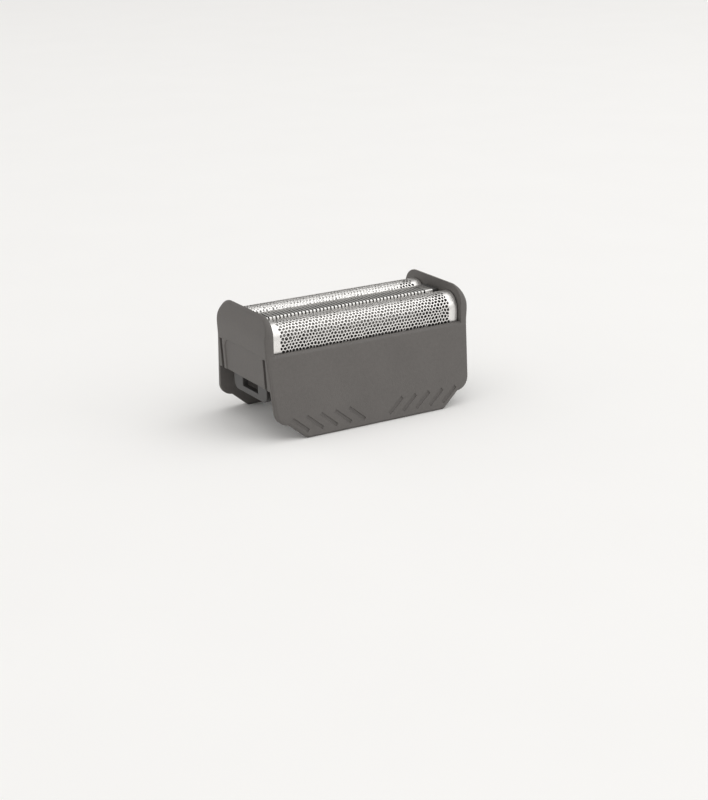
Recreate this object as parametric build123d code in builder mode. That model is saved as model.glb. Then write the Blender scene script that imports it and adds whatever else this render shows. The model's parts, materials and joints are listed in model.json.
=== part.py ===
from build123d import *
import math
import os

os.makedirs("parts", exist_ok=True)

# Every size is in millimetres. X runs along the foils, the front apron faces -Y, the foils look up +Z.

# Outer form of the head
frame_width = 45.5
waist_inset = 1.1
waist_height = 3.0
waist_radius = 2.8
crown_drop = 3.8
crown_inset = 0.95
crown_bend = 8.0
foot_depth = 25.2
sill_depth = 20.0
sill_height = 16.4
sill_bend = 8.0
sill_bevel = 0.4
crest_height = 21.9
post_rise = 1.5
post_width = 1.8
post_radius = 3.6
lip_inset = 6.15
lip_slope = 50.5
lip_corner_radius = 1.2
edge_bevel = 0.5

# Walls of the outer frame
apron_wall = 1.4
sill_wall = 0.8
end_wall_foot = 9.6

# Grip grooves on the lower lips
groove_pitch = 3.1
groove_start = 4.4
groove_margin = 4.0
groove_height = 2.8
groove_length = 4.2
groove_width = 0.7
groove_depth = 0.25
groove_angle = 40.0

# Recessed panel and flex slots on the end walls
panel_width = 14.4
panel_height = 6.4
panel_depth = 0.2
panel_radius = 2.0
flex_slot_width = 0.9
flex_slot_height = 6.0
flex_slot_spacing = 17.2

# Clearances
seat_gap = 0.05
fit_gap = 0.1
slide_gap = 0.15
foil_gap = 0.25
trimmer_gap = 0.4
foil_end_gap = 0.2

# Foils
foil_thickness = 0.1
foil_travel = 1.0
foil_margin = 1.9
foil_tail = 0.4
hole_size = 2.6
hole_web = 0.6
hole_rows = 3
hole_foot = 1.5

# Foil carriers
rail_wall = 0.7
rail_set_down = 0.4
carrier_end_wall = 0.8
stake_count = 4
stake_length = 1.4
stake_height = 0.9
stake_proud = 0.1

# Guide lugs on the ends of the carriers and of the trimmer
lug_reach = 0.4
lug_width = 2.0
lug_height = 2.4
lug_rise = 0.6
trimmer_lug_width = 2.4
trimmer_lug_height = 2.0

# Retainer frame with its snaps and tongues
retainer_drop = 9.6
retainer_thickness = 1.7
retainer_rim = 1.5
retainer_end_rim = 2.7
snap_inset = 8.7
snap_length = 4.0
snap_height = 0.9
snap_proud = 0.4
tongue_width = 13.0
tongue_foot = 6.0
tongue_thickness = 1.2
tongue_radius = 1.5
catch_width = 6.0
catch_height = 1.6
catch_foot = 1.2

# Trimmer
trimmer_width = 4.4
trimmer_set_back = 0.4
comb_sheet = 0.25
comb_height = 4.4
comb_bevel = 0.35
comb_overlap = 1.0
slot_pitch = 1.8
slot_width = 0.6
slot_depth = 1.6
plug_length = 0.7
end_block_length = 1.2
blade_sheet = 0.2
blade_stroke = 1.2
blade_height = 2.7
running_gap = 0.05
slide_rise = 0.35
slide_end = 0.8
peg_length = 3.2
peg_width = 1.4
peg_reach = 1.6

# Springs
spring_sheet = 0.15
lift_space = 2.1
lift_fold_radius = 0.25
lift_spring_width = 2.2
lift_spring_length = 2.0
blade_spring_share = 0.52
blade_spring_width = 1.8

# Places worked out from the sizes above
foot_y = foot_depth / 2
sill_y = sill_depth / 2
frame_x = frame_width / 2
waist_x = frame_x - waist_inset
post_height = crest_height + post_rise
crown_height = post_height - crown_drop
window_width = frame_width - 2 * post_width
window_x = window_width / 2
apron_lean = math.atan2(foot_y - sill_y, sill_height)
side_lean = math.atan2(waist_inset, crown_height - waist_height)
through = 2 * frame_width

foil_outer_y = sill_y - sill_wall - foil_gap
foil_inner_y = trimmer_width / 2 + trimmer_gap
foil_radius = (foil_outer_y - foil_inner_y) / 2
foil_y = (foil_outer_y + foil_inner_y) / 2
foil_z = crest_height - foil_radius
foil_length = window_width - 2 * foil_end_gap
foil_x = foil_length / 2
carrier_radius = foil_radius - foil_thickness
retainer_top = crest_height - retainer_drop
rail_bottom = retainer_top + seat_gap
rail_top = sill_height - rail_set_down
foil_bottom = rail_bottom + foil_tail
stake_z = (foil_bottom + rail_top) / 2
stake_pitch = (foil_length - 2 * foil_margin) / stake_count
lug_z = rail_bottom + lug_rise + lug_height / 2

comb_top = crest_height - trimmer_set_back
comb_foot = comb_top - comb_height
comb_inner_y = trimmer_width / 2 - comb_sheet
comb_x = foil_x - end_block_length
comb_ceiling = comb_top - comb_sheet
base_bottom = retainer_top + lift_space
base_top = comb_foot + comb_overlap
plug_x = comb_x - plug_length
blade_top = comb_ceiling - running_gap
blade_outer_y = comb_inner_y - running_gap
blade_inner_y = blade_outer_y - blade_sheet
blade_foot = blade_top - blade_height
blade_x = plug_x - blade_stroke - slide_gap
slide_bottom = blade_foot + slide_rise
slide_top = blade_top - blade_sheet - seat_gap
blade_spring_length = blade_x * blade_spring_share

ring_x = window_x - fit_gap
snap_spacing = 2 * (ring_x - snap_inset)
snap_z = retainer_top - retainer_thickness / 2


def apron_inner_y(height):
    """Half depth between the inner faces of the aprons at one height."""
    foot = foot_y - apron_wall
    sill = sill_y - sill_wall
    return foot + (sill - foot) * height / sill_height


def apron_bay(floor, ceiling):
    """Outline of the space between the aprons from floor to ceiling, seen from the end."""
    with BuildLine() as outline:
        Polyline(
            (-apron_inner_y(floor), floor),
            (-apron_inner_y(ceiling), ceiling),
            (apron_inner_y(ceiling), ceiling),
            (apron_inner_y(floor), floor),
            close=True,
        )
    return outline.edges()


def arch(radius, foot, place):
    """Outline of an upright arch with straight legs down to foot, seen from the end."""
    with BuildLine() as outline:
        left = Line((place - radius, foot), (place - radius, foil_z))
        top = ThreePointArc(left @ 1, (place, foil_z + radius), (place + radius, foil_z))
        right = Line(top @ 1, (place + radius, foot))
        Line(right @ 1, left @ 0)
    return outline.edges()


def level(sketch, height):
    """The corners of a sketch that lie at one height."""
    return sketch.vertices().filter_by_position(Axis.Y, height - seat_gap, height + seat_gap)


def save(builder, name):
    """Label one sub-part and write it as a STEP file."""
    builder.part.label = name
    export_step(builder.part, f"parts/{name}.step")


# Outer frame: one moulding with two aprons, two end posts and the grip lips
front_apron = Plane(
    origin=(0, -foot_y, 0),
    x_dir=(1, 0, 0),
    z_dir=(0, -math.cos(apron_lean), math.sin(apron_lean)),
)
rear_apron = Plane(
    origin=(0, foot_y, 0),
    x_dir=(-1, 0, 0),
    z_dir=(0, math.cos(apron_lean), math.sin(apron_lean)),
)
left_side = Plane(
    origin=(-waist_x, 0, waist_height),
    x_dir=(0, -1, 0),
    z_dir=(-math.cos(side_lean), 0, -math.sin(side_lean)),
)
right_side = Plane(
    origin=(waist_x, 0, waist_height),
    x_dir=(0, 1, 0),
    z_dir=(math.cos(side_lean), 0, -math.sin(side_lean)),
)
lip_foot = waist_x - lip_inset
lip_top = waist_height + waist_radius / 2
lip_spread = lip_top * math.tan(math.radians(lip_slope))
panel_foot = end_wall_foot - waist_height
groove_count = int((waist_x - groove_margin - groove_start) / groove_pitch) + 1
ring_y = apron_inner_y(retainer_top) - fit_gap

with BuildPart() as outer_frame:
    with BuildSketch(Plane.YZ) as end_view:
        with BuildLine():
            Polyline(
                (-foot_y, 0),
                (-sill_y, sill_height),
                (-sill_y, post_height),
                (sill_y, post_height),
                (sill_y, sill_height),
                (foot_y, 0),
                close=True,
            )
        make_face()
        fillet(level(end_view, post_height), post_radius)
        fillet(level(end_view, sill_height), sill_bend)
    extrude(amount=frame_x, both=True)
    with BuildSketch(Plane.XZ) as front_view:
        with BuildLine():
            Polyline(
                (-waist_x, waist_height),
                (-frame_x, crown_height),
                (-frame_x + crown_inset, post_height),
                (frame_x - crown_inset, post_height),
                (frame_x, crown_height),
                (waist_x, waist_height),
                close=True,
            )
        make_face()
        fillet(level(front_view, waist_height), waist_radius)
        fillet(level(front_view, crown_height), crown_bend)
        with BuildLine():
            Polyline(
                (-lip_foot, 0),
                (-lip_foot - lip_spread, lip_top),
                (lip_foot + lip_spread, lip_top),
                (lip_foot, 0),
                close=True,
            )
        make_face()
        fillet(level(front_view, 0), lip_corner_radius)
    extrude(amount=foot_depth, both=True, mode=Mode.INTERSECT)
    # The outline of each side face is bevelled, from the lips over the posts
    sides = outer_frame.faces().filter_by(lambda face: abs(face.normal_at().X) > 0.5)
    rims = sides.edges().filter_by(Axis.Y, reverse=True)
    crowns = outer_frame.edges().filter_by(Axis.Y).group_by(Axis.Z)[-1]
    chamfer(rims + crowns, edge_bevel)
    # Window for the foils, bay for the cutters and open ends below the end walls
    with BuildSketch(Plane.XZ):
        with Locations((0, sill_height)):
            Rectangle(window_width, through, align=(Align.CENTER, Align.MIN))
    extrude(amount=foot_depth, both=True, mode=Mode.SUBTRACT)
    with BuildSketch(Plane.YZ):
        make_face(apron_bay(-waist_height, sill_height))
    extrude(amount=window_x, both=True, mode=Mode.SUBTRACT)
    sills = outer_frame.edges().filter_by(Axis.X)
    sills = sills.filter_by_position(Axis.Z, sill_height - seat_gap, sill_height + seat_gap)
    chamfer(sills.group_by(Axis.Y)[0] + sills.group_by(Axis.Y)[-1], sill_bevel)
    with BuildSketch(Plane.YZ):
        make_face(apron_bay(-waist_height, end_wall_foot))
    extrude(amount=through, both=True, mode=Mode.SUBTRACT)
    # Guide grooves inside the end walls, and the flex slots beside them
    for side in (-1, 1):
        with BuildSketch(Plane.YZ.offset(side * window_x)):
            with Locations((-foil_y, lug_z), (foil_y, lug_z)):
                Rectangle(lug_width + 2 * slide_gap, lug_height + 2 * (foil_travel + slide_gap))
            with Locations((0, base_bottom + trimmer_lug_height + seat_gap)):
                Rectangle(
                    trimmer_lug_width + 2 * slide_gap,
                    base_bottom + trimmer_lug_height + seat_gap - end_wall_foot,
                    align=(Align.CENTER, Align.MAX),
                )
            with Locations((-foil_y, lug_z), (foil_y, lug_z)):
                Rectangle(
                    lug_width + 2 * slide_gap,
                    lug_z - end_wall_foot,
                    align=(Align.CENTER, Align.MAX),
                )
        extrude(amount=side * (lug_reach + slide_gap), mode=Mode.SUBTRACT)
        with BuildSketch(Plane.YZ.offset(side * window_x)):
            with Locations((0, end_wall_foot)):
                with GridLocations(flex_slot_spacing, 1, 2, 1):
                    Rectangle(
                        flex_slot_width, flex_slot_height, align=(Align.CENTER, Align.MIN)
                    )
        extrude(amount=side * through, mode=Mode.SUBTRACT)
    # Pockets in the aprons for the snaps of the retainer
    with BuildSketch(Plane.XY.offset(snap_z - snap_height / 2 - fit_gap)):
        with GridLocations(snap_spacing, 2 * ring_y, 2, 2):
            Rectangle(snap_length + 2 * fit_gap, 2 * (snap_proud + fit_gap))
    extrude(amount=snap_height + 2 * fit_gap, mode=Mode.SUBTRACT)
    # Recessed panels on the end walls
    with BuildSketch(left_side, right_side) as panel:
        with Locations((0, panel_foot - panel_radius)):
            Rectangle(
                panel_width, panel_height + panel_radius, align=(Align.CENTER, Align.MIN)
            )
        fillet(panel.vertices().group_by(Axis.Y)[-1], panel_radius)
    extrude(amount=-panel_depth, mode=Mode.SUBTRACT)
    # Grip grooves, fanned out from the middle of each lip
    with BuildSketch(front_apron, rear_apron):
        for side in (-1, 1):
            for index in range(groove_count):
                with Locations((side * (groove_start + index * groove_pitch), groove_height)):
                    Rectangle(groove_length, groove_width, rotation=side * groove_angle)
    extrude(amount=-groove_depth, mode=Mode.SUBTRACT)
save(outer_frame, "outer_frame")

# Retainer frame: the ring that snaps in from below, under the foils and the trimmer
with BuildPart() as retainer_frame:
    with BuildSketch(Plane.XY.offset(retainer_top - retainer_thickness)):
        Rectangle(2 * ring_x, 2 * ring_y)
        Rectangle(
            2 * (ring_x - retainer_end_rim), 2 * (ring_y - retainer_rim), mode=Mode.SUBTRACT
        )
    extrude(amount=retainer_thickness)
    with BuildSketch(Plane.XY.offset(snap_z - snap_height / 2)):
        with GridLocations(snap_spacing, 2 * ring_y, 2, 2):
            Rectangle(snap_length, 2 * snap_proud)
    extrude(amount=snap_height)
    for side in (-1, 1):
        with BuildSketch(Plane.YZ.offset(side * ring_x)) as tongue:
            with Locations((0, tongue_foot)):
                Rectangle(
                    tongue_width, retainer_top - tongue_foot, align=(Align.CENTER, Align.MIN)
                )
            fillet(tongue.vertices().group_by(Axis.Y)[0], tongue_radius)
            with Locations((0, tongue_foot + catch_foot)):
                Rectangle(
                    catch_width,
                    catch_height,
                    align=(Align.CENTER, Align.MIN),
                    mode=Mode.SUBTRACT,
                )
        extrude(amount=-side * tongue_thickness)
save(retainer_frame, "retainer_frame")


def foil_row(step, outward):
    """Plane on the foil for one row of holes, counted from the sill up over the crest."""
    quarter = foil_radius * math.pi / 2
    from_crest = quarter + foil_z - sill_height - hole_foot - step * hole_pitch
    below = max(0, from_crest - quarter)
    angle = min(from_crest, quarter) / foil_radius
    across = outward * math.sin(angle)
    return Plane(
        origin=(
            0,
            outward * foil_y + foil_radius * across,
            foil_z + foil_radius * math.cos(angle) - below,
        ),
        x_dir=(1, 0, 0),
        z_dir=(0, across, math.cos(angle)),
    )


hole_pitch = hole_size + hole_web
column_pitch = hole_pitch * math.cos(math.radians(30))
hole_width = hole_size / math.cos(math.radians(30))
hole_field = foil_length - 2 * foil_margin
long_columns = int((hole_field - hole_width) / (2 * column_pitch)) + 1

# Foils and the carriers that they wrap over, front and rear
for name, outward in (("front_foil", -1), ("rear_foil", 1)):
    place = outward * foil_y
    with BuildPart() as foil:
        with BuildSketch(Plane.YZ):
            make_face(arch(foil_radius, foil_bottom, place))
            make_face(arch(carrier_radius, foil_bottom, place), mode=Mode.SUBTRACT)
        extrude(amount=foil_x, both=True)
        for short in (0, 1):
            rows = [foil_row(step + short / 2, outward) for step in range(hole_rows - short)]
            with BuildSketch(*rows):
                with GridLocations(2 * column_pitch, 1, long_columns - short, 1):
                    RegularPolygon(hole_size / 2, 6, major_radius=False)
            extrude(amount=hole_web, both=True, mode=Mode.SUBTRACT)
        with BuildSketch(Plane.XZ):
            with Locations((0, stake_z)):
                with GridLocations(stake_pitch, 1, stake_count, 1):
                    Rectangle(stake_length + 2 * seat_gap, stake_height + 2 * seat_gap)
        extrude(amount=through, both=True, mode=Mode.SUBTRACT)
    save(foil, name)

    with BuildPart() as carrier:
        with BuildSketch(Plane.YZ):
            make_face(arch(carrier_radius, rail_bottom, place))
        extrude(amount=foil_x, both=True)
        with BuildSketch(Plane.YZ):
            make_face(arch(carrier_radius - rail_wall, rail_bottom, place))
        extrude(amount=foil_x - carrier_end_wall, both=True, mode=Mode.SUBTRACT)
        with BuildSketch(Plane.XZ):
            with Locations((0, rail_top)):
                Rectangle(
                    foil_length - 2 * foil_margin, through, align=(Align.CENTER, Align.MIN)
                )
        extrude(amount=through, both=True, mode=Mode.SUBTRACT)
        for side in (-1, 1):
            with BuildSketch(Plane.YZ.offset(side * foil_x)):
                with Locations((place, lug_z)):
                    Rectangle(lug_width, lug_height)
            extrude(amount=side * (foil_end_gap + lug_reach))
            with BuildSketch(Plane.XZ.offset(-place - side * carrier_radius)):
                with Locations((0, stake_z)):
                    with GridLocations(stake_pitch, 1, stake_count, 1):
                        Rectangle(stake_length, stake_height)
            extrude(amount=-side * (foil_thickness + stake_proud))
    save(carrier, f"{name}_carrier")


# Trimmer comb: a folded steel channel with slots across its top
with BuildPart() as trimmer_comb:
    with BuildSketch(Plane.YZ) as comb_section:
        with Locations((0, comb_foot)):
            Rectangle(trimmer_width, comb_height, align=(Align.CENTER, Align.MIN))
        chamfer(level(comb_section, comb_top), comb_bevel)
        with Locations((0, comb_foot)):
            Rectangle(
                2 * comb_inner_y,
                comb_height - comb_sheet,
                align=(Align.CENTER, Align.MIN),
                mode=Mode.SUBTRACT,
            )
    extrude(amount=comb_x, both=True)
    with BuildSketch(Plane.XZ):
        with Locations((0, comb_top - slot_depth)):
            with GridLocations(slot_pitch, 1, int(2 * plug_x / slot_pitch) - 1, 1):
                Rectangle(slot_width, comb_height, align=(Align.CENTER, Align.MIN))
    extrude(amount=through, both=True, mode=Mode.SUBTRACT)
save(trimmer_comb, "trimmer_comb")

# Trimmer blade: a smaller slotted channel that runs to and fro inside the comb
with BuildPart() as trimmer_blade:
    with BuildSketch(Plane.YZ):
        with Locations((0, blade_foot)):
            Rectangle(2 * blade_outer_y, blade_height, align=(Align.CENTER, Align.MIN))
            Rectangle(
                2 * blade_inner_y,
                blade_height - blade_sheet,
                align=(Align.CENTER, Align.MIN),
                mode=Mode.SUBTRACT,
            )
    extrude(amount=blade_x, both=True)
    with BuildSketch(Plane.XZ):
        with Locations((0, comb_top - slot_depth)):
            with GridLocations(slot_pitch, 1, int(2 * blade_x / slot_pitch) - 1, 1):
                Rectangle(slot_width, comb_height, align=(Align.CENTER, Align.MIN))
    extrude(amount=through, both=True, mode=Mode.SUBTRACT)
save(trimmer_blade, "trimmer_blade")

# Trimmer slide: the bar that fills the blade, with the drive peg below
with BuildPart() as trimmer_slide:
    with BuildSketch(Plane.XZ):
        with Locations((0, slide_bottom)):
            Rectangle(
                2 * (blade_x - slide_end),
                slide_top - slide_bottom,
                align=(Align.CENTER, Align.MIN),
            )
    extrude(amount=blade_inner_y - seat_gap, both=True)
    with BuildSketch(Plane.XZ):
        with Locations((0, slide_bottom)):
            Rectangle(
                peg_length,
                slide_bottom - base_bottom + peg_reach,
                align=(Align.CENTER, Align.MAX),
            )
    extrude(amount=peg_width / 2, both=True)
save(trimmer_slide, "trimmer_slide")

# Trimmer base: the beam under the comb, with end blocks, plugs and guide lugs
with BuildPart() as trimmer_base:
    with BuildSketch(Plane.XZ):
        with Locations((0, base_bottom)):
            Rectangle(foil_length, comb_top - base_bottom, align=(Align.CENTER, Align.MIN))
        with Locations((0, comb_foot - seat_gap)):
            Rectangle(
                2 * (comb_x + seat_gap),
                through,
                align=(Align.CENTER, Align.MIN),
                mode=Mode.SUBTRACT,
            )
    extrude(amount=trimmer_width / 2, both=True)
    with BuildSketch(Plane.XZ):
        with Locations((0, base_bottom)):
            Rectangle(
                foil_length,
                comb_ceiling - seat_gap - base_bottom,
                align=(Align.CENTER, Align.MIN),
            )
        with Locations((0, base_top)):
            Rectangle(2 * plug_x, through, align=(Align.CENTER, Align.MIN), mode=Mode.SUBTRACT)
    extrude(amount=comb_inner_y - seat_gap, both=True)
    with BuildSketch(Plane.XY):
        Rectangle(peg_length + 2 * (blade_stroke + slide_gap), peg_width + 2 * slide_gap)
    extrude(amount=through, mode=Mode.SUBTRACT)
    for side in (-1, 1):
        with BuildSketch(Plane.YZ.offset(side * foil_x)):
            with Locations((0, base_bottom)):
                Rectangle(
                    trimmer_lug_width, trimmer_lug_height, align=(Align.CENTER, Align.MIN)
                )
        extrude(amount=side * (foil_end_gap + lug_reach))
save(trimmer_base, "trimmer_base")

# Springs: folded leaves that lift the trimmer, bowed leaves that press the blade to the comb
for name, side in (("left", -1), ("right", 1)):
    lift_x = side * (ring_x - retainer_end_rim + lift_fold_radius)
    fold_x = lift_x + side * lift_spring_length
    with BuildPart() as lift_spring:
        with BuildSketch(Plane.XZ):
            with BuildLine() as leaf:
                Polyline(
                    (lift_x, retainer_top + seat_gap + spring_sheet / 2),
                    (fold_x, retainer_top + seat_gap + spring_sheet / 2),
                    (lift_x, base_bottom - seat_gap - spring_sheet),
                )
                fillet(leaf.vertices().sort_by(Axis.X)[-1 if side > 0 else 0], lift_fold_radius)
            trace(line_width=spring_sheet)
        extrude(amount=lift_spring_width / 2, both=True)
    save(lift_spring, f"lift_spring_{name}")

    bow_x = side * blade_x * (1 - blade_spring_share)
    with BuildPart() as blade_spring:
        with BuildSketch(Plane.XZ):
            with BuildLine():
                ThreePointArc(
                    (bow_x - blade_spring_length / 2, base_top + seat_gap + spring_sheet / 2),
                    (bow_x, slide_bottom - seat_gap - spring_sheet / 2),
                    (bow_x + blade_spring_length / 2, base_top + seat_gap + spring_sheet / 2),
                )
            trace(line_width=spring_sheet)
        extrude(amount=blade_spring_width / 2, both=True)
    save(blade_spring, f"blade_spring_{name}")
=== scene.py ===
# %% [markdown]
# # A shaver's foil head
#
# The head is a dark grey plastic moulding with two arched metal foils and a narrow slotted trimmer
# between them. The CAD model already holds every solid in its place. This lesson dresses it: the
# sheet-metal pieces are punched and bent again with far finer holes, the mouldings get soft edges,
# and every surface gets a finish made from nodes. All sizes are in metres, in the CAD frame.

# %% Load the frame
import json
import math
import random

import bmesh
import bpy
from mathutils import Matrix, Vector

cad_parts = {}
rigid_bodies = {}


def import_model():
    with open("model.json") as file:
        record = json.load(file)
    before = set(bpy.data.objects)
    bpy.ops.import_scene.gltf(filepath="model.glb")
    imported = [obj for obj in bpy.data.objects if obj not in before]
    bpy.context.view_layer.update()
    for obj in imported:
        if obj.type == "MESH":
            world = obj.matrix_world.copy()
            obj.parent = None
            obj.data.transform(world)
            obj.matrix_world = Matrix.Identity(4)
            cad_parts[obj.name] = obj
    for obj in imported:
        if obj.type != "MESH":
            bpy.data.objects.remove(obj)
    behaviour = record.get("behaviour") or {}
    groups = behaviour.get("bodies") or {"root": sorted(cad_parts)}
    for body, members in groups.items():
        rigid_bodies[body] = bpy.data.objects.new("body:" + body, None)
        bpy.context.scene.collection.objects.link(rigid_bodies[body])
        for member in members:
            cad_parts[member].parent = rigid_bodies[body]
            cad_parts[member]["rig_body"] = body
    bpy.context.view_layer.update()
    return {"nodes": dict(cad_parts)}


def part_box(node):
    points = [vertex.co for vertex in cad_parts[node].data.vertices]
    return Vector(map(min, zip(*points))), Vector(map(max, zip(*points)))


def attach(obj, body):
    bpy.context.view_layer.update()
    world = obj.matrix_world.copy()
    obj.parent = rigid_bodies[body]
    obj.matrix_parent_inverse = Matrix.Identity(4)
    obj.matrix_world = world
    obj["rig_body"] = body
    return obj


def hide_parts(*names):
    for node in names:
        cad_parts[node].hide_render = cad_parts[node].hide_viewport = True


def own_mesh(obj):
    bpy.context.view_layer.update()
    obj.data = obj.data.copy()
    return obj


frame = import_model()
MM = 0.001
print("CAD nodes:", sorted(frame["nodes"]))

# %% [markdown]
# ## The camera
#
# A lens is described by its focal length and a sensor size, both in millimetres. The photograph
# was taken with a long lens from the front left and from above, so the head looks almost like a
# parallel drawing. A camera needs a place, a direction and a sense of "up", which here is tilted
# by about half a degree. Together they make the columns of its turn, with the view along minus Z.

# %% Camera
CAMERA_PLACE = Vector((-0.16999, -0.28324, 0.11235))
CAMERA_FORWARD = Vector((0.49253, 0.80978, -0.31886)).normalized()
CAMERA_UP = Vector((0.17494, 0.26677, 0.94775)).normalized()
FOCAL_LENGTH = 79.29
SENSOR_WIDTH = 36.0

camera_data = bpy.data.cameras.new("camera")
camera_data.sensor_width = SENSOR_WIDTH
camera_data.lens = FOCAL_LENGTH
camera = bpy.data.objects.new("camera", camera_data)
camera_right = CAMERA_FORWARD.cross(CAMERA_UP).normalized()
camera_up = camera_right.cross(CAMERA_FORWARD)
turn = Matrix((camera_right, camera_up, -CAMERA_FORWARD)).transposed()
camera.matrix_world = Matrix.Translation(CAMERA_PLACE) @ turn.to_4x4()
bpy.context.scene.collection.objects.link(camera)
bpy.context.scene.camera = camera
print("camera", round(CAMERA_PLACE.length / MM), "mm from the head")

# %% [markdown]
# ## Shader maths as Python
#
# A material is a graph of nodes. Writing each node by hand is long, so three small classes help.
# The first is a `Field`: one socket whose value changes over the surface. Python's operators on
# fields add the Math nodes, so that a roughness can be written as a formula.


# %% A field
class Field:
    """One socket of a node tree, with arithmetic."""

    def __init__(self, graph, socket):
        self.graph = graph
        self.socket = socket

    def _math(self, operation, other):
        return self.graph.node("ShaderNodeMath", {"operation": operation}, {0: self, 1: other})

    def __add__(self, other):
        return self._math("ADD", other)

    def __mul__(self, other):
        return self._math("MULTIPLY", other)

    __radd__ = __add__
    __rmul__ = __mul__


# %% [markdown]
# A `Graph` is a node tree. Its `node` method makes any node: settings come first, because they can
# change which sockets there are, and then each socket gets a link or a plain value. A colour is
# written as three numbers, since its alpha is always 1. A Mix node has sockets for every kind of
# data, with the same names, so those for colours are picked by their numbers.

# %% A node tree
MIX_FACTOR = 0
MIX_FIRST_COLOUR = 6
MIX_SECOND_COLOUR = 7
MIX_COLOUR_RESULT = 2


class Graph:
    """A node tree to which nodes are added."""

    def __init__(self, tree):
        self.tree = tree

    def feed(self, socket, value):
        """Link a field to a socket, or set the socket to a value."""
        if isinstance(value, Field):
            self.tree.links.new(value.socket, socket)
        elif socket.type == "RGBA":
            socket.default_value = (*value, 1)
        else:
            socket.default_value = value

    def node(self, kind, settings=None, values=None, output=0):
        """Make a node and return one of its outputs as a field."""
        made = self.tree.nodes.new(kind)
        for name, value in (settings or {}).items():
            setattr(made, name, value)
        for socket, value in (values or {}).items():
            self.feed(made.inputs[socket], value)
        return Field(self, made.outputs[output])

    def mix(self, factor, first, second):
        """A colour between two colours."""
        return self.node(
            "ShaderNodeMix",
            {"data_type": "RGBA"},
            {MIX_FACTOR: factor, MIX_FIRST_COLOUR: first, MIX_SECOND_COLOUR: second},
            output=MIX_COLOUR_RESULT,
        )

    def fade(self, value, start, end):
        """A smooth step from 0 to 1 while a value goes from start to end."""
        return self.node(
            "ShaderNodeMapRange",
            {"interpolation_type": "SMOOTHSTEP"},
            {"Value": value, "From Min": start, "From Max": end},
        )


# %% [markdown]
# A `Finish` is the graph of one material, with the few patterns that the surfaces here need. The
# patterns read Object coordinates, which are the CAD's own metres. A grain then has a real size,
# and nothing has to be unwrapped. The finished materials are kept under the names of the CAD's
# slots.

# %% A finish
finishes = {}


class Finish(Graph):
    """One material with a Principled shader."""

    def __init__(self, name, **constants):
        self.material = bpy.data.materials.new(name)
        self.material.use_nodes = True
        super().__init__(self.material.node_tree)
        self.dress(constants)

    def dress(self, values):
        """Feed the Principled shader's sockets, named with _ for each space."""
        sockets = self.tree.nodes["Principled BSDF"].inputs
        for name, value in values.items():
            self.feed(sockets[name.replace("_", " ")], value)

    def grain(self, size, detail=2.0, stretch=(1, 1, 1)):
        """Noise from 0 to 1 whose lumps are about one size, in metres, and can be stretched."""
        here = self.node("ShaderNodeTexCoord", output="Object")
        place = self.node("ShaderNodeMapping", None, {"Vector": here, "Scale": stretch})
        values = {"Vector": place, "Scale": 1 / size, "Detail": detail}
        return self.node("ShaderNodeTexNoise", None, values)

    def bump(self, height, depth):
        """A height from 0 to 1 as relief of one depth, in metres."""
        return self.node("ShaderNodeBump", None, {"Height": height, "Distance": depth})

    def wear(self, **fields):
        """Feed the fields that change over the surface, and return the material."""
        self.dress(fields)
        print("finish", self.material.name, "has", len(self.tree.nodes), "nodes")
        return self.material


# %% [markdown]
# ## Plastics
#
# The outer moulding is a warm dark grey with a fine matt texture, which the steel mould has from
# spark erosion. Three noises do it: a small one for the relief, a middle one for the mottling that
# shows from a hand's width away, and a large one that makes the colour and the gloss wander a
# little, as plastic does where it cooled at different speeds.

# %% The grey of the frame
grey = Finish("moulded_grey", Specular_IOR_Level=0.42)
erosion = grey.grain(0.22 * MM, detail=3.0)
mottle = grey.grain(0.6 * MM, detail=2.0)
flow = grey.grain(7 * MM, detail=1.0)
tone = 0.3 * flow + 0.35 * mottle + 0.35 * erosion
finishes["frame_grey"] = grey.wear(
    Base_Color=grey.mix(tone, (0.088, 0.082, 0.077), (0.160, 0.149, 0.141)),
    Roughness=0.40 + 0.14 * erosion + 0.08 * mottle + 0.06 * flow,
    Normal=grey.bump(0.75 * erosion + 0.25 * mottle, 0.06 * MM),
)

# %% [markdown]
# The pieces inside are a smoother black, and the driver of the trimmer is a paler, cloudy nylon,
# which slides well. They are mostly in shade, so one noise each is enough.

# %% The plastics inside
black = Finish("moulded_black", Specular_IOR_Level=0.5)
satin = black.grain(0.25 * MM)
finishes["inner_black"] = black.wear(
    Base_Color=black.mix(satin, (0.044, 0.043, 0.042), (0.070, 0.068, 0.066)),
    Roughness=0.34 + 0.14 * satin,
    Normal=black.bump(satin, 0.006 * MM),
)

nylon = Finish("slide_nylon", Specular_IOR_Level=0.5)
cloud = nylon.grain(0.8 * MM)
finishes["slide_grey"] = nylon.wear(
    Base_Color=nylon.mix(cloud, (0.21, 0.21, 0.205), (0.28, 0.275, 0.265)),
    Roughness=0.38 + 0.12 * cloud,
    Normal=nylon.bump(cloud, 0.008 * MM),
)

# %% [markdown]
# ## Metals
#
# The foil is grown as thin nickel, so it is bright and satin, with no brushing. A fine noise stands
# for the crystals, and a wide one lets the tone and the gloss wander.

# %% The nickel of the foils
nickel = Finish("foil_nickel", Metallic=1.0)
crystal = nickel.grain(0.09 * MM, detail=2.0)
haze = nickel.grain(4 * MM, detail=1.0)
finishes["foil_silver"] = nickel.wear(
    Base_Color=nickel.mix(haze, (0.80, 0.785, 0.765), (0.90, 0.885, 0.865)),
    Roughness=0.24 + 0.10 * crystal + 0.06 * haze,
    Normal=nickel.bump(crystal, 0.004 * MM),
)

# %% [markdown]
# The comb, the blade and the springs are rolled steel. Rolling leaves fine lines, so the noise is
# stretched along X. One function makes both steels, because only tone and gloss differ.

# %% The steels
ALONG_X = (0.02, 1, 1)


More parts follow.
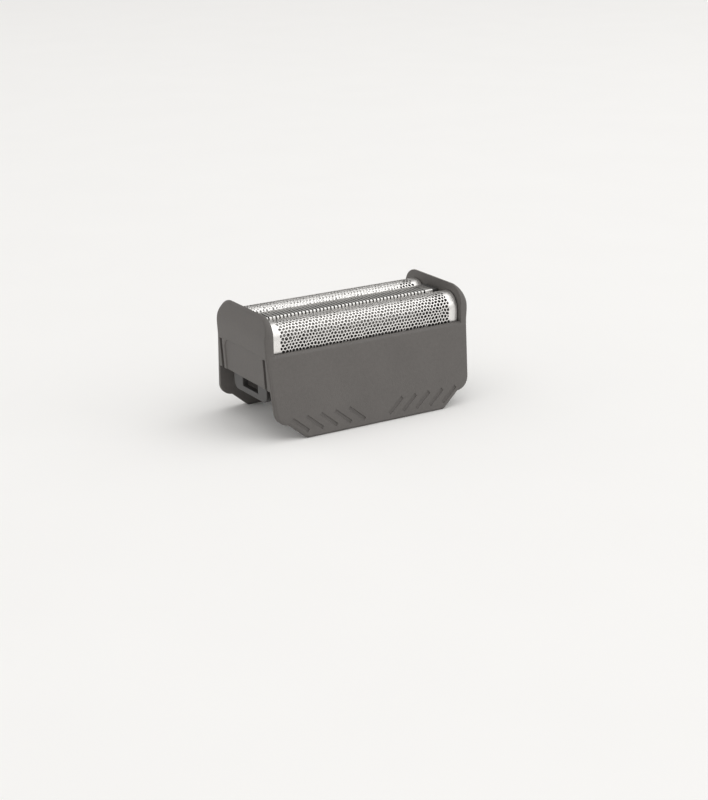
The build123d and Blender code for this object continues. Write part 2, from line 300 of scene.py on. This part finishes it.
def rolled_steel(name, dark, light, gloss):
    """Steel sheet with rolling lines along X."""
    steel = Finish(name, Metallic=1.0)
    lines = steel.grain(0.05 * MM, detail=2.0, stretch=ALONG_X)
    return steel.wear(
        Base_Color=steel.mix(lines, dark, light),
        Roughness=gloss + 0.14 * lines,
        Normal=steel.bump(lines, 0.003 * MM),
    )


finishes["comb_steel"] = rolled_steel(
    "ground_steel", dark=(0.66, 0.65, 0.635), light=(0.80, 0.79, 0.77), gloss=0.22
)
finishes["spring_steel"] = rolled_steel(
    "rolled_strip", dark=(0.50, 0.49, 0.48), light=(0.62, 0.61, 0.59), gloss=0.26
)

# %% [markdown]
# ## A finished piece
#
# Every mesh ends the same way: it becomes an object, rides on the CAD body that carries it, and
# the CAD node it stands for is hidden. Shading is smooth, apart from edges that turn sharply.

# %% Turning a bmesh into a piece
SHARP_FOLD = math.radians(40)


def finish_piece(name, shape, node, slot, sharp=SHARP_FOLD):
    """A mesh object that stands for a CAD node."""
    mesh = bpy.data.meshes.new(name)
    shape.to_mesh(mesh)
    shape.free()
    for face in mesh.polygons:
        face.use_smooth = True
    mesh.set_sharp_from_angle(angle=sharp)
    mesh.materials.append(finishes[slot])
    piece = bpy.data.objects.new(name, mesh)
    bpy.context.scene.collection.objects.link(piece)
    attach(piece, frame["nodes"][node]["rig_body"])
    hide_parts(node)
    mesh.calc_loop_triangles()
    print(name, "has", len(mesh.loop_triangles), "triangles")
    return piece


# %% [markdown]
# ## The mouldings
#
# A moulded edge is never quite sharp. The CAD solids have flat bevels there, and square inner
# edges. A merged copy of a solid loses the lines across its flat faces and gets its square edges
# bevelled. A Weighted Normal modifier then turns the flat bevels into round ones: large faces keep
# their own direction, and the narrow ones between them blend from one to the other.

# %% Softening the edges of a solid
SQUARE_EDGE = math.radians(62)
FLAT_ANGLE = math.radians(0.5)
CAD_MERGE = 0.002 * MM
BEVEL_MERGE = 0.001 * MM
BEVEL_STEPS = 2
LARGE_FACES_LEAD = 100


def soft_moulding(name, node, slot, radius):
    """A copy of a CAD solid with softened edges."""
    shape = bmesh.new()
    shape.from_mesh(frame["nodes"][node].data)
    bmesh.ops.remove_doubles(shape, verts=shape.verts[:], dist=CAD_MERGE)
    bmesh.ops.dissolve_limit(
        shape, angle_limit=FLAT_ANGLE, verts=shape.verts[:], edges=shape.edges[:]
    )
    bmesh.ops.bevel(
        shape,
        geom=[edge for edge in shape.edges if edge.calc_face_angle(0) > SQUARE_EDGE],
        offset=radius,
        offset_type="OFFSET",
        segments=BEVEL_STEPS,
        profile=0.5,
        affect="EDGES",
        clamp_overlap=False,
        material=-1,
    )
    bmesh.ops.remove_doubles(shape, verts=shape.verts[:], dist=BEVEL_MERGE)
    piece = finish_piece(name, shape, node, slot, sharp=SQUARE_EDGE)
    weights = piece.modifiers.new("weights", "WEIGHTED_NORMAL")
    weights.weight = LARGE_FACES_LEAD
    weights.keep_sharp = True
    return piece


# %% [markdown]
# Each kind of piece has its own radius. The carriers under the foils have the smallest, because
# their thin bars leave no room for more.

# %% The plastic pieces
soft_moulding("frame_moulding", "outer_frame", "frame_grey", radius=0.1 * MM)
soft_moulding("retainer_moulding", "retainer_frame", "inner_black", radius=0.12 * MM)
for place in ("front", "rear"):
    soft_moulding(
        f"{place}_carrier_moulding", f"{place}_foil_carrier", "inner_black", radius=0.04 * MM
    )
soft_moulding("trimmer_beam", "trimmer_base", "inner_black", radius=0.08 * MM)
soft_moulding("trimmer_driver", "trimmer_slide", "slide_grey", radius=0.06 * MM)

# %% [markdown]
# ## The foils
#
# A real foil starts as a flat sheet full of small, slightly uneven six-sided holes, with plain
# margins, and is bent over its carrier. The same order works here: first the holes, then the
# margins, then the bend, and the thickness last. The radius and the widths are read from the CAD.
# The field of holes leaves plain ends, and reaches a little below the frame's sill, which hides
# where it stops.

# %% The flat size of a foil
SILL_HEIGHT = 16.4 * MM
PLAIN_END = 1.5 * MM
FIELD_DROP = 0.5 * MM

foil_low, foil_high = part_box("front_foil")
foil_radius = (foil_high.y - foil_low.y) / 2
arch_foot = foil_high.z - foil_radius
foil_half = foil_high.x
quarter = foil_radius * math.pi / 2
sheet_half = quarter + arch_foot - foil_low.z
field_half = quarter + arch_foot - SILL_HEIGHT + FIELD_DROP
print("foil radius", round(foil_radius / MM, 2), "mm")
print("flat sheet", round(2 * sheet_half / MM, 2), "mm wide")

# %% [markdown]
# The holes could be drawn one by one, but a honeycomb also comes from a grid. The grid is shifted
# in every other row, shaken a little, and cut into triangles. Poking every triangle and turning
# the old edges puts a cell round every old vertex. Each cell is inset, and its middle is the hole.
# The rim of a hole lies a little deeper than the middle of the web, as on metal that was grown and
# not cut.

# %% A honeycomb of holes
HOLE_PITCH = 0.72 * MM
HOLE_WEB = 0.18 * MM
HOLE_SHAKE = 0.28
RIM_DROP = 0.02 * MM
ROW_PITCH = HOLE_PITCH * math.sin(math.radians(60))
STAGGER = 0.25


def honeycomb(shape, half_x, half_y, shaker):
    """A flat sheet with a hole round every inner vertex of a staggered grid."""
    columns = round(2 * half_x / HOLE_PITCH)
    rows = round(2 * half_y / ROW_PITCH)
    size = Matrix.Diagonal((half_x, half_y, 1, 1))
    bmesh.ops.create_grid(shape, x_segments=columns, y_segments=rows, size=1, matrix=size)
    pitch_x = 2 * half_x / columns
    pitch_y = 2 * half_y / rows
    centres = [vertex for vertex in shape.verts if not vertex.is_boundary]
    for centre in centres:
        row = round((centre.co.y + half_y) / pitch_y)
        centre.co.x += pitch_x * (STAGGER if row % 2 else -STAGGER)
        centre.co.x += pitch_x * HOLE_SHAKE * shaker.uniform(-1, 1)
        centre.co.y += pitch_y * HOLE_SHAKE * shaker.uniform(-1, 1)
    bmesh.ops.triangulate(shape, faces=shape.faces[:], quad_method="SHORT_EDGE")
    spokes = [edge for edge in shape.edges if not edge.is_boundary]
    bmesh.ops.poke(shape, faces=shape.faces[:])
    bmesh.ops.rotate_edges(shape, edges=spokes)
    bmesh.ops.dissolve_verts(shape, verts=centres)
    cells = [face for face in shape.faces if not any(v.is_boundary for v in face.verts)]
    bmesh.ops.inset_individual(
        shape, faces=cells, thickness=HOLE_WEB / 2, depth=-RIM_DROP, use_even_offset=True
    )
    bmesh.ops.delete(shape, geom=cells, context="FACES_ONLY")
    return len(cells)


# %% [markdown]
# The plain margins are extruded from the edges of the honeycomb. The lower ones get rectangular
# holes, by which the foil hangs on the stakes of its carrier: four cuts through the faces near a
# stake, and the faces inside the rectangle are deleted.

# %% Margins and stake holes
HAIR = 1e-7
CUT_REACH = 4


def widen(shape, axis, side, reach):
    """Extrude the sheet's straight edge on one side out to a distance."""
    limit = max(side * vertex.co[axis] for vertex in shape.verts)
    rim = [
        edge
        for edge in shape.edges
        if edge.is_boundary and all(side * v.co[axis] > limit - HAIR for v in edge.verts)
    ]
    grown = bmesh.ops.extrude_edge_only(shape, edges=rim)["geom"]
    for vertex in (item for item in grown if isinstance(item, bmesh.types.BMVert)):
        vertex.co[axis] = side * reach


def punch(shape, x, y, half_x, half_y):
    """Cut a rectangular hole into the sheet."""
    reach = CUT_REACH * half_y
    for axis, middle, half in ((0, x, half_x), (1, y, half_y)):
        for side in (-1, 1):
            normal = Vector((0, 0, 0))
            normal[axis] = 1
            point = Vector((0, 0, 0))
            point[axis] = middle + side * half
            near = [face for face in shape.faces if abs(face.calc_center_median().y - y) < reach]
            edges = dict.fromkeys(edge for face in near for edge in face.edges)
            verts = dict.fromkeys(vertex for face in near for vertex in face.verts)
            bmesh.ops.bisect_plane(
                shape, geom=[*near, *edges, *verts], plane_co=point, plane_no=normal, dist=HAIR
            )
    inside = [
        face
        for face in shape.faces
        if abs(face.calc_center_median().x - x) < half_x
        and abs(face.calc_center_median().y - y) < half_y
    ]
    bmesh.ops.delete(shape, geom=inside, context="FACES")


# %% [markdown]
# Bending is a change of coordinates. The middle of the sheet, a quarter of a turn to each side,
# goes round the arch, and the rest hangs straight down. What lies deeper in the flat sheet comes
# to lie on a smaller radius.


# %% Bending the sheet
def bend_over(shape, middle_y):
    """Lay the flat sheet over the arch of a carrier."""
    for vertex in shape.verts:
        along = vertex.co.y
        radius = foil_radius + vertex.co.z
        bend = max(-quarter, min(quarter, along)) / foil_radius
        drop = max(0, abs(along) - quarter)
        vertex.co.y = middle_y + radius * math.sin(bend)
        vertex.co.z = arch_foot + radius * math.cos(bend) - drop


# %% [markdown]
# Both foils are made the same way. Each has a seed of its own, so that its holes are uneven in
# their own way, and the same on every run. The stakes stand at even steps between the plain ends.

# %% The two foils
FOIL_SHEET = 0.1 * MM
STAKE_COUNT = 4
STAKE_MARGIN = 1.9 * MM
STAKE_HALF = (0.75 * MM, 0.5 * MM)
STAKE_HEIGHT = 14.375 * MM
FRONT_SEED = 11
REAR_SEED = 12


def make_foil(name, node, seed):
    """A sheet with holes and margins, bent over its carrier."""
    low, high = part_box(node)
    shape = bmesh.new()
    holes = honeycomb(shape, foil_half - PLAIN_END, field_half, random.Random(seed))
    for axis, reach in ((0, foil_half), (1, sheet_half)):
        for side in (-1, 1):
            widen(shape, axis, side, reach)
    stake_step = (2 * foil_half - 2 * STAKE_MARGIN) / STAKE_COUNT
    for side in (-1, 1):
        for index in range(STAKE_COUNT):
            stake_x = (index - (STAKE_COUNT - 1) / 2) * stake_step
            stake_y = side * (quarter + arch_foot - STAKE_HEIGHT)
            punch(shape, stake_x, stake_y, *STAKE_HALF)
    bend_over(shape, (low.y + high.y) / 2)
    bmesh.ops.recalc_face_normals(shape, faces=shape.faces[:])
    bmesh.ops.solidify(shape, geom=shape.faces[:], thickness=FOIL_SHEET)
    print(name, "has", holes, "holes")
    return finish_piece(name, shape, node, "foil_silver")


make_foil("front_foil_sheet", "front_foil", FRONT_SEED)
make_foil("rear_foil_sheet", "rear_foil", REAR_SEED)

# %% [markdown]
# ## The trimmer's comb and blade
#
# Both are narrow channels of sheet steel with slots across the top. They too are cut flat and
# folded. The flat sheet is a grid of five strips: the top, the part of each wall that the slots
# reach, and the rest of each wall. Its columns are tooth, slot, tooth, slot, and the faces in the
# slots are deleted.

# %% Slotting a flat sheet
STRIPS = 5


def slotted_sheet(shape, half_x, half_y, height, pitch, width, depth, end):
    """A flat sheet with slots across its top strip and a depth down both walls."""
    count = int((2 * half_x - 2 * end) / pitch)
    middles = [(index - (count - 1) / 2) * pitch for index in range(count)]
    slot_edges = [middle + side * width / 2 for middle in middles for side in (-1, 1)]
    lines_x = [-half_x, *slot_edges, half_x]
    outwards = (half_y, half_y + depth, half_y + height)
    lines_y = [*(-y for y in reversed(outwards)), *outwards]
    columns = len(lines_x) - 1
    bmesh.ops.create_grid(shape, x_segments=columns, y_segments=STRIPS, size=1)
    for vertex in shape.verts:
        vertex.co.x = lines_x[round((vertex.co.x + 1) / 2 * columns)]
        vertex.co.y = lines_y[round((vertex.co.y + 1) / 2 * STRIPS)]
    slots = [
        face
        for face in shape.faces
        if abs(face.calc_center_median().y) < half_y + depth
        and max(v.co.x for v in face.verts) - min(v.co.x for v in face.verts) < width + HAIR
    ]
    bmesh.ops.delete(shape, geom=slots, context="FACES")
    return count


# %% [markdown]
# The strips beside the top are folded down as walls, and the fold is bevelled. The comb gets the
# rounder fold, because that edge meets the skin.

# %% Folding it to a channel
FOLD_STEPS = 3


def slotted_channel(name, node, sheet, pitch, width, depth, end, fold):
    """A channel of sheet steel with slots across the top."""
    low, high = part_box(node)
    half_y = high.y
    shape = bmesh.new()
    count = slotted_sheet(shape, high.x, half_y, high.z - low.z, pitch, width, depth, end)
    for vertex in shape.verts:
        drop = max(0, abs(vertex.co.y) - half_y)
        vertex.co.y = max(-half_y, min(half_y, vertex.co.y))
        vertex.co.z = high.z - drop
    folds = [
        edge
        for edge in shape.edges
        if not edge.is_boundary
        and all(v.co.z > high.z - HAIR and abs(v.co.y) > half_y - HAIR for v in edge.verts)
    ]
    bmesh.ops.bevel(
        shape,
        geom=folds,
        offset=fold,
        segments=FOLD_STEPS,
        profile=0.5,
        affect="EDGES",
        material=-1,
    )
    bmesh.ops.recalc_face_normals(shape, faces=shape.faces[:])
    bmesh.ops.solidify(shape, geom=shape.faces[:], thickness=sheet)
    print(name, "has", count, "slots")
    return finish_piece(name, shape, node, "comb_steel")


slotted_channel(
    "comb_channel",
    "trimmer_comb",
    sheet=0.25 * MM,
    pitch=0.8 * MM,
    width=0.34 * MM,
    depth=1.6 * MM,
    end=1.5 * MM,
    fold=0.35 * MM,
)
slotted_channel(
    "blade_channel",
    "trimmer_blade",
    sheet=0.2 * MM,
    pitch=0.8 * MM,
    width=0.38 * MM,
    depth=1.3 * MM,
    end=0.8 * MM,
    fold=0.1 * MM,
)

# %% [markdown]
# ## The springs
#
# Two folded leaves lift the trimmer and two bowed ones press the blade against the comb. Their
# form is in the CAD already, so they are made as the mouldings are, with a smaller bevel.

# %% Leaf springs
LEAF_EDGE = 0.03 * MM

for side in ("left", "right"):
    soft_moulding(f"blade_leaf_{side}", f"blade_spring_{side}", "spring_steel", LEAF_EDGE)
    leaf = soft_moulding(f"lift_leaf_{side}", f"lift_spring_{side}", "spring_steel", LEAF_EDGE)
    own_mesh(leaf)

# %% [markdown]
# ## Floor and light
#
# The head stands on a plain pale floor, a sheet of matt paper that reaches far past the view.

# %% Floor
FLOOR_HALF = 3.0

paper = Finish("floor_paper", Roughness=0.9, Specular_IOR_Level=0.1)
fibre = paper.grain(30 * MM)
floor_shape = bmesh.new()
bmesh.ops.create_grid(floor_shape, x_segments=1, y_segments=1, size=FLOOR_HALF)
floor_mesh = bpy.data.meshes.new("floor")
floor_shape.to_mesh(floor_mesh)
floor_shape.free()
floor_mesh.materials.append(
    paper.wear(Base_Color=paper.mix(fibre, (0.92, 0.915, 0.905), (0.94, 0.935, 0.925)))
)
floor = bpy.data.objects.new("floor", floor_mesh)
bpy.context.scene.collection.objects.link(floor)

# %% [markdown]
# A large soft lamp overhead is the key light, and a weaker one fills in from the front right. Both
# look at the head, which stands at the origin. The level is plain: a colour renders about as it is
# written.


# %% Lamps
def soft_lamp(name, place, size, watts):
    """A rectangular lamp that looks at the head."""
    lamp_data = bpy.data.lights.new(name, "AREA")
    lamp_data.shape = "RECTANGLE"
    lamp_data.size, lamp_data.size_y = size
    lamp_data.energy = watts
    lamp = bpy.data.objects.new(name, lamp_data)
    look = (-Vector(place)).to_track_quat("-Z", "Y").to_matrix().to_4x4()
    lamp.matrix_world = Matrix.Translation(place) @ look
    bpy.context.scene.collection.objects.link(lamp)
    print("lamp", name, "has", watts, "watts")


soft_lamp("overhead", place=(0.35, -0.20, 1.60), size=(2.2, 1.8), watts=12.0)
soft_lamp("front_right", place=(0.70, -0.70, 0.50), size=(0.50, 0.50), watts=0.9)

# %% [markdown]
# A pale room does the rest. Bright metal shows whatever stands round it, so the room has a grey
# wall behind the head, which the foils reflect as a grey band along their crests. Low down, the
# room takes the tone of the far floor, so that a low view shows no hard line between them. The wall
# fades with the cosine of the angle to its middle, and the floor's tone with the height of the
# line of sight.

# %% The room
WALL_DIRECTION = Vector((0.47, 0.70, 0.54)).normalized()
WALL_FADE = (0.72, 0.95)
FLOOR_FADE = (0.0, 0.16)
ROOM_TONE = (0.74, 0.733, 0.722)
WALL_TONE = (0.36, 0.357, 0.35)
FAR_FLOOR_TONE = (0.668, 0.659, 0.644)

world = bpy.data.worlds.new("studio")
world.use_nodes = True
studio = Graph(world.node_tree)
sight = studio.node("ShaderNodeTexCoord", output="Generated")
towards_wall = studio.node(
    "ShaderNodeVectorMath",
    {"operation": "DOT_PRODUCT"},
    {0: sight, 1: WALL_DIRECTION},
    output="Value",
)
rise = studio.node("ShaderNodeSeparateXYZ", None, {"Vector": sight}, output="Z")
walls = studio.mix(studio.fade(towards_wall, *WALL_FADE), ROOM_TONE, WALL_TONE)
room = studio.mix(studio.fade(rise, *FLOOR_FADE), FAR_FLOOR_TONE, walls)
studio.feed(world.node_tree.nodes["Background"].inputs["Color"], room)
bpy.context.scene.world = world
bpy.context.scene.view_settings.view_transform = "Standard"
print("the room has", len(world.node_tree.nodes), "nodes")
